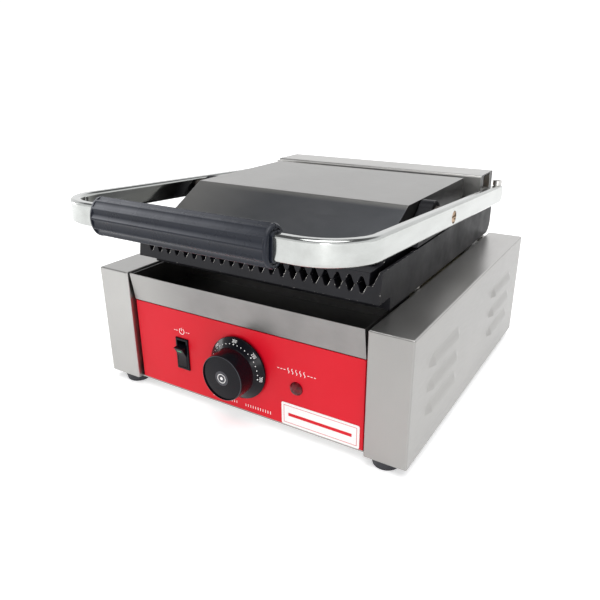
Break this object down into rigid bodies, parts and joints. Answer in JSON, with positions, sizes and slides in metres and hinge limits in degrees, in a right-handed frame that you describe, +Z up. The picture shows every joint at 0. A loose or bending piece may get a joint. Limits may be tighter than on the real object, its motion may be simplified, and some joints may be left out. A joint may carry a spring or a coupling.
{
  "type": "panini press",
  "caption": "Single contact grill with ribbed cast plates, a hinged chromed handle, a pivoting head, a drip tray, a thermostat knob and a rocker switch.",
  "frame": {"origin": "on the table, under the centre of the object's bounding box", "axes": "+X to the right seen from the front, +Y to the back, +Z up"},
  "size_m": [0.2952, 0.3584, 0.1855],
  "materials": {
    "brushed_steel": "brushed stainless sheet, warm grey, grain along the folds",
    "red_paint": "satin red enamel, white printed marks",
    "white_label": "plain white film",
    "cast_iron": "black enamelled casting, slightly rough, worn bright at the edges",
    "chrome": "polished chrome plate",
    "grip_black": "slate-black phenolic, satin",
    "zinc_steel": "zinc-plated steel",
    "spring_steel": "dark spring steel",
    "bronze": "bronze and copper",
    "dark_steel": "heat-darkened steel",
    "shield_aluminium": "dull aluminium sheet",
    "mineral_wool": "pressed mineral wool mat",
    "black_plastic": "black moulded plastic, satin gloss",
    "ceramic": "cream ceramic or phenolic",
    "red_lens": "dark red faceted lens, unlit",
    "lamp_glass": "small neon lamp",
    "spindle_steel": "turned steel",
    "rubber": "black rubber"
  },
  "bodies": {
    "base": {"base_pan": "brushed_steel", "side_housing_left": "brushed_steel", "side_housing_right": "brushed_steel", "control_panel": "red_paint", "blank_label": "white_label", "switch_housing": "black_plastic", "switch_terminals": "zinc_steel", "lamp_body": "black_plastic", "lamp_lens": "red_lens", "neon_lamp": "lamp_glass", "lamp_nut": "zinc_steel", "thermostat_body": "ceramic", "thermostat_sensor": "bronze", "base_deck": "brushed_steel", "rear_panel": "brushed_steel", "rear_screws": "zinc_steel", "mains_gland": "black_plastic", "gland_nut": "black_plastic", "earth_stud": "zinc_steel", "terminal_block": "ceramic", "feet": "rubber", "foot_screws": "zinc_steel", "lower_grill_plate": "cast_iron", "lower_heater": "dark_steel", "lower_heater_clamps": "zinc_steel", "clamp_studs": "zinc_steel", "heat_shield": "shield_aluminium", "lower_insulation": "mineral_wool", "plate_standoffs": "zinc_steel", "tray_runners": "brushed_steel", "tower_bracket_left": "zinc_steel", "tower_bracket_right": "zinc_steel", "bracket_bolts": "zinc_steel", "shaft_bushes": "bronze", "counter_spring_left": "spring_steel", "counter_spring_right": "spring_steel", "tower_hood": "brushed_steel", "hood_screws": "zinc_steel"},
    "handle": {"handle_bar": "chrome", "handle_grip_front": "grip_black", "handle_grip_rear": "grip_black", "grip_screws": "zinc_steel", "hinge_shaft": "zinc_steel", "shaft_collars": "zinc_steel", "handle_set_screws": "zinc_steel", "pivot_bolts": "bronze", "pivot_spacers": "dark_steel"},
    "head": {"upper_grill_plate": "cast_iron", "pivot_bushes": "bronze", "upper_cover": "brushed_steel", "lead_grommet": "rubber", "upper_heater": "dark_steel", "upper_heater_clamps": "zinc_steel", "cover_studs": "zinc_steel", "upper_insulation": "mineral_wool"},
    "drip_tray": {"drip_tray": "brushed_steel"},
    "knob": {"knob": "black_plastic", "knob_spindle": "spindle_steel"},
    "rocker": {"rocker": "black_plastic"}
  },
  "joints": [
    {"name": "handle_hinge", "type": "hinge", "parent": "base", "child": "handle", "pos_m": [0, 0.133, 0.154], "axis": [-1, 0, 0], "range_deg": [0, 70]},
    {"name": "head_pivot", "type": "hinge", "parent": "handle", "child": "head", "pos_m": [0, -0.003, 0.161], "axis": [1, 0, 0], "range_deg": [0, 7]},
    {"name": "tray_slide", "type": "slide", "parent": "base", "child": "drip_tray", "axis": [0, -1, 0], "range_m": [0, 0.06]},
    {"name": "knob_turn", "type": "hinge", "parent": "base", "child": "knob", "pos_m": [0, -0.1124, 0.04785], "axis": [0, 1, 0], "range_deg": [-96, 192]},
    {"name": "rocker_tilt", "type": "hinge", "parent": "base", "child": "rocker", "pos_m": [-0.0592, -0.10686, 0.0439], "axis": [-1, 0, 0], "range_deg": [0, 28]}
  ],
  "couplings": [
    {"joint": "head_pivot", "follows": "handle_hinge", "ratio": 0.1}
  ]
}
